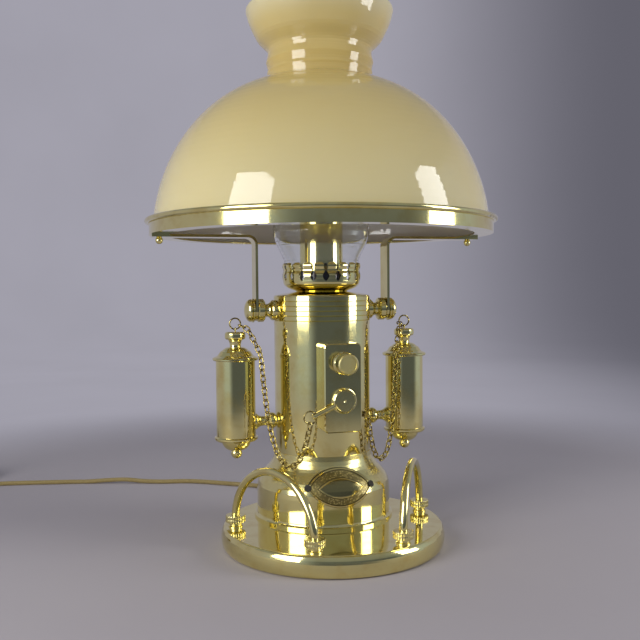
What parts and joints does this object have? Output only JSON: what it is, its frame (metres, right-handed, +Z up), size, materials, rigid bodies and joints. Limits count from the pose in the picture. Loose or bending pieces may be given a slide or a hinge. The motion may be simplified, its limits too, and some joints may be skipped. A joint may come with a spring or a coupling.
{
  "type": "table lamp",
  "caption": "Polished brass table lamp: round column off-centre on a disc base, opal glass dome on a tilting ring, glass chimney, side canisters, chains and a switch box.",
  "frame": {"origin": "the column's axis where it meets the table, at the underside of the felt", "axes": "+Z up along the column, -Y to the front with the switch box and the name plate, +X to the right seen from the front, along the two arms"},
  "size_m": [0.5493, 0.5722, 0.4725],
  "materials": {
    "polished_brass": "mirror polished brass, yellow gold",
    "weight_steel": "plain turned steel",
    "green_felt": "dark green felt",
    "black_screw": "blackened screw heads",
    "ceramic": "glazed white ceramic",
    "plated_cap": "bright plated screw cap",
    "bulb_glass": "clear lamp glass",
    "clear_glass": "clear blown glass",
    "opal_glass": "cased opal glass, cream to tan, glossy",
    "black_plastic": "black moulded plastic",
    "wire_insulation": "red wire insulation",
    "cord_sleeve": "gold satin woven sleeve",
    "cord_plastic": "gold brown moulded plastic",
    "plug_pin": "nickel plated pins"
  },
  "bodies": {
    "stand": {"base_disc": "polished_brass", "base_weight": "weight_steel", "base_felt": "green_felt", "rail_left": "polished_brass", "rail_right": "polished_brass", "rail_collars": "polished_brass", "rail_nuts": "weight_steel", "bell": "polished_brass", "name_plate": "polished_brass", "plate_screws": "black_screw", "column_tube": "polished_brass", "column_cap": "polished_brass", "tie_rod": "weight_steel", "tie_rod_nuts": "weight_steel", "burner_crown": "polished_brass", "burner_tube": "polished_brass", "lampholder": "ceramic", "spool_left": "polished_brass", "spool_right": "polished_brass", "bracket_left": "polished_brass", "bracket_right": "polished_brass", "column_nuts": "weight_steel", "canister_left": "polished_brass", "canister_right": "polished_brass", "canister_foot_left": "polished_brass", "canister_foot_right": "polished_brass", "canister_lid_left": "polished_brass", "canister_lid_right": "polished_brass", "lid_ring_left": "polished_brass", "lid_ring_right": "polished_brass", "chain_left": "polished_brass", "chain_right": "polished_brass", "chain_eye": "polished_brass", "switch_box": "polished_brass", "dimmer_body": "black_plastic", "switch_body": "black_plastic", "feed_wire": "wire_insulation", "lamp_wire": "wire_insulation", "cord_gland": "polished_brass", "cord_relief": "cord_plastic", "cord_run": "cord_sleeve", "cord_coil": "cord_sleeve", "cord_tail": "cord_sleeve", "plug_body": "cord_plastic", "plug_pins": "plug_pin"},
    "frame": {"arm_left": "polished_brass", "arm_right": "polished_brass", "arm_screws": "polished_brass", "shade_ring": "polished_brass"},
    "shade": {"shade": "opal_glass"},
    "chimney": {"chimney": "clear_glass"},
    "bulb": {"bulb_glass": "bulb_glass", "bulb_cap": "plated_cap"},
    "knob_left": {"arm_knob_left": "polished_brass"},
    "knob_right": {"arm_knob_right": "polished_brass"},
    "dimmer": {"dimmer_knob": "polished_brass"},
    "lever": {"lever_hub": "polished_brass", "lever_rod": "polished_brass", "lever_ring": "polished_brass"}
  },
  "joints": [
    {"name": "frame_tilt", "type": "hinge", "parent": "stand", "child": "frame", "pos_m": [0, 0, 0.1985], "axis": [1, 0, 0], "range_deg": [-4, 4]},
    {"name": "shade_lift", "type": "slide", "parent": "frame", "child": "shade", "axis": [0, 0, 1], "range_m": [0, 0.06]},
    {"name": "chimney_lift", "type": "slide", "parent": "stand", "child": "chimney", "axis": [0, 0, 1], "range_m": [0, 0.05]},
    {"name": "bulb_turn", "type": "hinge", "parent": "stand", "child": "bulb", "pos_m": [0, 0, 0.28], "axis": [0, 0, 1], "continuous": true},
    {"name": "knob_left_turn", "type": "hinge", "parent": "stand", "child": "knob_left", "pos_m": [0, 0, 0.1985], "axis": [1, 0, 0], "continuous": true},
    {"name": "knob_right_turn", "type": "hinge", "parent": "stand", "child": "knob_right", "pos_m": [0, 0, 0.1985], "axis": [1, 0, 0], "continuous": true},
    {"name": "dimmer_turn", "type": "hinge", "parent": "stand", "child": "dimmer", "pos_m": [0, -0.064, 0.1565], "axis": [0, 1, 0], "range_deg": [0, 270]},
    {"name": "lever_turn", "type": "hinge", "parent": "stand", "child": "lever", "pos_m": [0, -0.067, 0.126], "axis": [0, 1, 0], "range_deg": [-15, 15], "deforming": ["chain_left"]}
  ]
}
